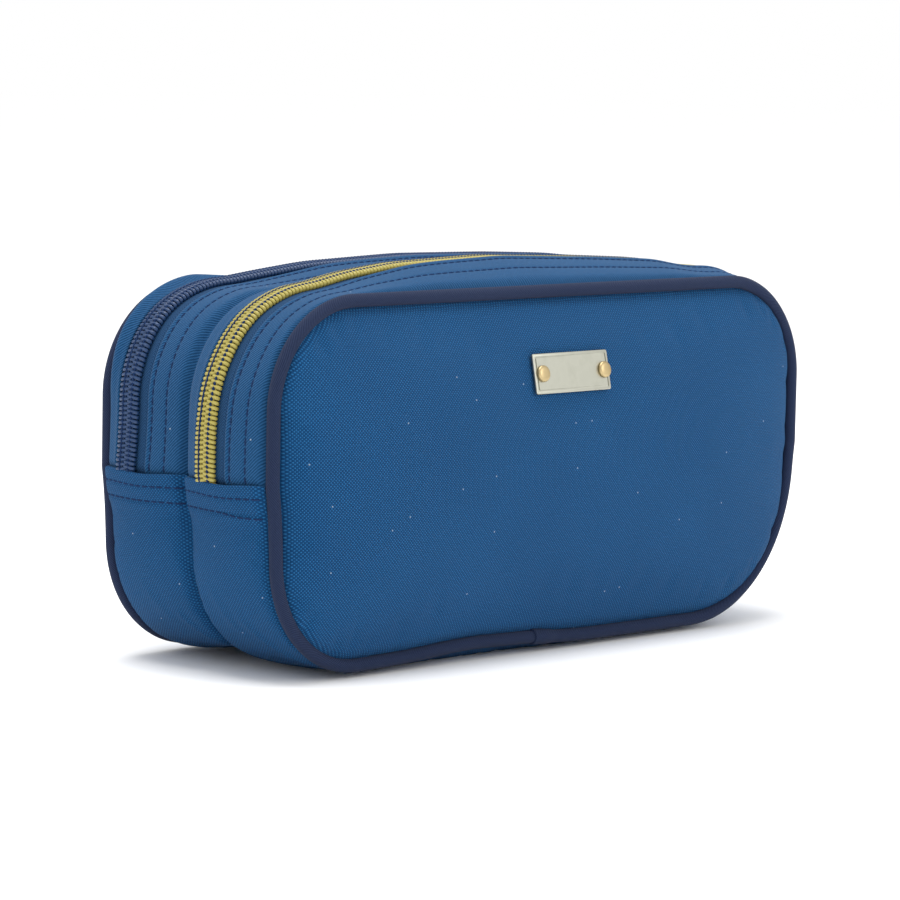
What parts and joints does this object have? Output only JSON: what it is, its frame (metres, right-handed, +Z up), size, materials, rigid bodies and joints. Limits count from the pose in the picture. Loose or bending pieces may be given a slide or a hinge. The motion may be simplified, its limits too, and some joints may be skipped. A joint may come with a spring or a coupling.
{
  "type": "pencil case",
  "caption": "Soft zipped pencil case with two compartments back to back, piped outer panels and a small metal badge on the front.",
  "frame": {"origin": "on the resting surface, under the middle of the whole case with its sliders and badge", "axes": "+Z up; -Y out of the front panel, which carries the badge; +X along the case, towards the closed ends of the zips"},
  "size_m": [0.2352, 0.0902, 0.1141],
  "materials": {
    "cloth": "blue plain-woven oxford cloth, matt",
    "piping": "navy twill over a round cord",
    "tape": "blue woven tape, finer than the cloth",
    "yellow_coil": "yellow-green nylon coil with navy sewing thread",
    "navy_coil": "navy nylon coil",
    "zip_metal": "pale gold plating, satin",
    "badge_metal": "pale cream-gold plating, satin, with an engraved border",
    "rivet_metal": "brass, polished"
  },
  "bodies": {
    "case_body": {"divider_panel": "cloth", "front_gusset": "cloth", "front_panel_lower": "cloth", "front_piping_lower": "piping", "front_inner_strip": "cloth", "front_inner_tape": "tape", "front_inner_coil": "yellow_coil", "front_end_tape": "tape", "front_end_coil": "yellow_coil", "front_binding_lower": "tape", "front_divider_binding": "tape", "rear_gusset": "cloth", "rear_panel_lower": "cloth", "rear_piping_lower": "piping", "rear_inner_strip": "cloth", "rear_inner_tape": "tape", "rear_inner_coil": "navy_coil", "rear_end_tape": "tape", "rear_end_coil": "navy_coil", "rear_binding_lower": "tape", "rear_divider_binding": "tape"},
    "front_flap": {"front_panel_upper": "cloth", "front_piping_upper": "piping", "front_outer_strip": "cloth", "front_outer_tape": "tape", "front_outer_coil": "yellow_coil", "front_binding_upper": "tape", "badge_plate": "badge_metal", "badge_rivet_left": "rivet_metal", "badge_rivet_right": "rivet_metal", "badge_washer_left": "rivet_metal", "badge_washer_right": "rivet_metal"},
    "rear_flap": {"rear_panel_upper": "cloth", "rear_piping_upper": "piping", "rear_outer_strip": "cloth", "rear_outer_tape": "tape", "rear_outer_coil": "navy_coil", "rear_binding_upper": "tape"},
    "front_slider": {"front_slider_body": "zip_metal", "front_slider_bail": "zip_metal"},
    "rear_slider": {"rear_slider_body": "zip_metal", "rear_slider_bail": "zip_metal"},
    "front_pull": {"front_pull_tab": "zip_metal"},
    "rear_pull": {"rear_pull_tab": "zip_metal"}
  },
  "joints": [
    {"name": "front_flap_fold", "type": "hinge", "parent": "case_body", "child": "front_flap", "pos_m": [-0.0029, -0.0454, 0.0545], "axis": [1, 0, 0], "range_deg": [0, 30]},
    {"name": "rear_flap_fold", "type": "hinge", "parent": "case_body", "child": "rear_flap", "pos_m": [-0.0029, 0.0454, 0.0545], "axis": [-1, 0, 0], "range_deg": [0, 30]},
    {"name": "front_slider_travel", "type": "hinge", "parent": "case_body", "child": "front_slider", "pos_m": [0.07688, -0.01295, 0.07372], "axis": [0, -1, 0], "range_deg": [0, 90]},
    {"name": "rear_slider_travel", "type": "hinge", "parent": "case_body", "child": "rear_slider", "pos_m": [0.07688, 0.02105, 0.07372], "axis": [0, -1, 0], "range_deg": [0, 90]},
    {"name": "front_pull_swing", "type": "hinge", "parent": "front_slider", "child": "front_pull", "pos_m": [0.11459, -0.01295, 0.07372], "axis": [0, -1, 0], "range_deg": [0, 170]},
    {"name": "rear_pull_swing", "type": "hinge", "parent": "rear_slider", "child": "rear_pull", "pos_m": [0.11459, 0.02105, 0.07372], "axis": [0, -1, 0], "range_deg": [0, 170]}
  ]
}
